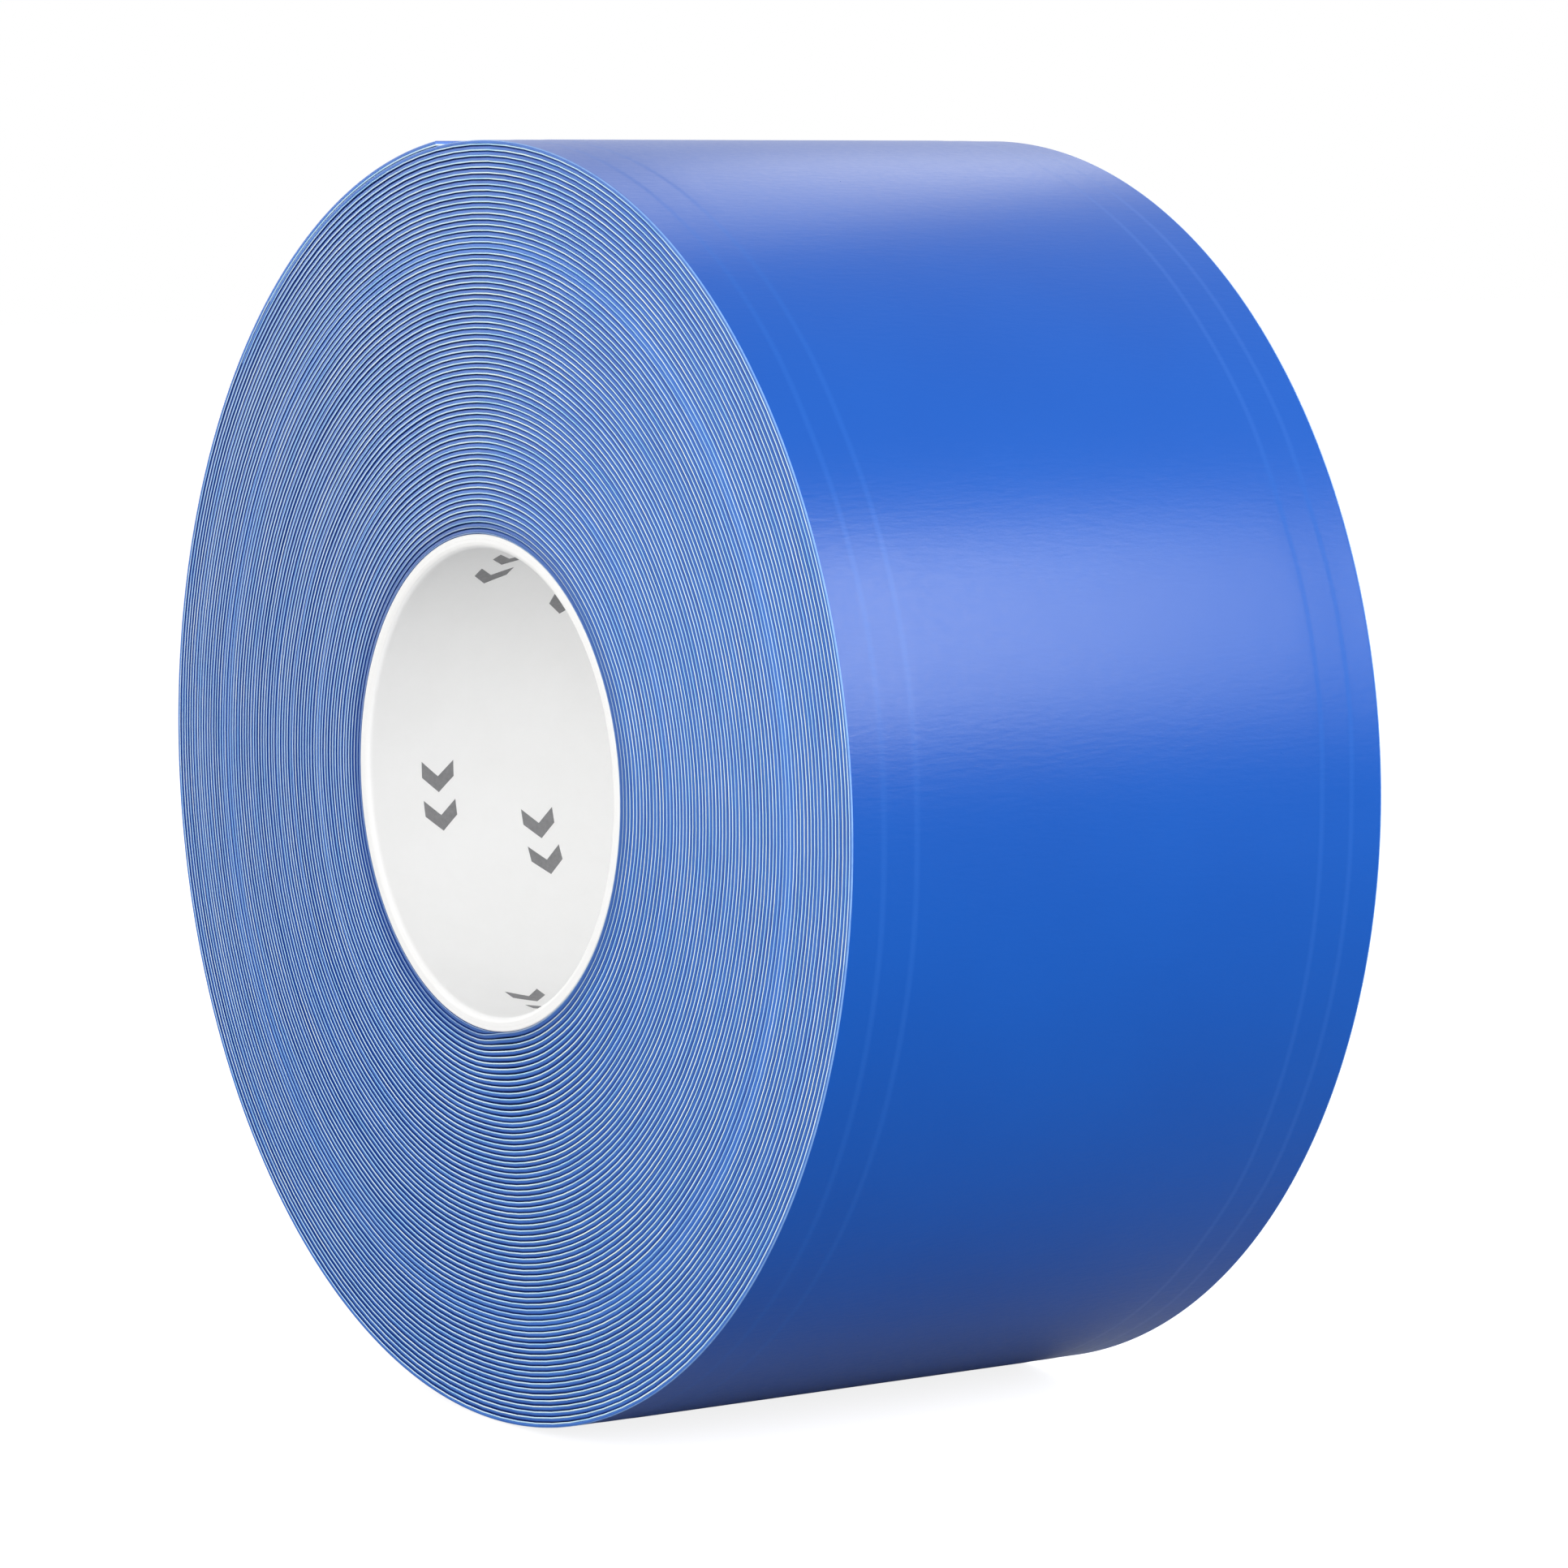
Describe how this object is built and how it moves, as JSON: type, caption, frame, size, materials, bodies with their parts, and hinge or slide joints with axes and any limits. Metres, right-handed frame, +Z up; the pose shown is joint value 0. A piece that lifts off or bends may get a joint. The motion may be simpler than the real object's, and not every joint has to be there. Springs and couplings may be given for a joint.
{
  "type": "roll of vinyl marking tape",
  "caption": "Roll of thick glossy vinyl marking tape wound with its release liner on a paper core; the free end peels up from the roll in a smooth curve.",
  "frame": {"origin": "centre of the core's bore, midway between the roll's two side faces", "axes": "+Y along the roll's axis towards the far side face, +Z up; the roll stands on its rim"},
  "size_m": [0.2094, 0.1016, 0.2089],
  "materials": {
    "printed_paper": "smooth white printed paper",
    "core_board": "matte board",
    "cover_paper": "smooth paper",
    "release_liner": "thin glazed release paper",
    "blue_vinyl": "smooth satin-gloss vinyl"
  },
  "bodies": {
    "roll": {"core_printed_ply": "printed_paper", "core_board_ply_1": "core_board", "core_board_ply_2": "core_board", "core_board_ply_3": "core_board", "core_cover_ply": "cover_paper", "wound_liner": "release_liner", "wound_tape": "blue_vinyl"},
    "tail_1": {"tail_tape_1": "blue_vinyl", "tail_liner_1": "release_liner"},
    "tail_2": {"tail_tape_2": "blue_vinyl", "tail_liner_2": "release_liner"},
    "tail_3": {"tail_tape_3": "blue_vinyl", "tail_liner_3": "release_liner"}
  },
  "joints": [
    {"name": "tail_lift", "type": "hinge", "parent": "roll", "child": "tail_1", "pos_m": [-0.07087, 0, 0.07734], "axis": [0, -1, 0], "range_deg": [0, 45]},
    {"name": "tail_bend_2", "type": "hinge", "parent": "tail_1", "child": "tail_2", "pos_m": [-0.05403, 0, 0.08992], "axis": [0, -1, 0], "range_deg": [0, 30]},
    {"name": "tail_bend_3", "type": "hinge", "parent": "tail_2", "child": "tail_3", "pos_m": [-0.03502, 0, 0.09889], "axis": [0, -1, 0], "range_deg": [0, 15]}
  ],
  "couplings": [
    {"joint": "tail_bend_2", "follows": "tail_lift", "ratio": 0.66667},
    {"joint": "tail_bend_3", "follows": "tail_lift", "ratio": 0.33333}
  ]
}
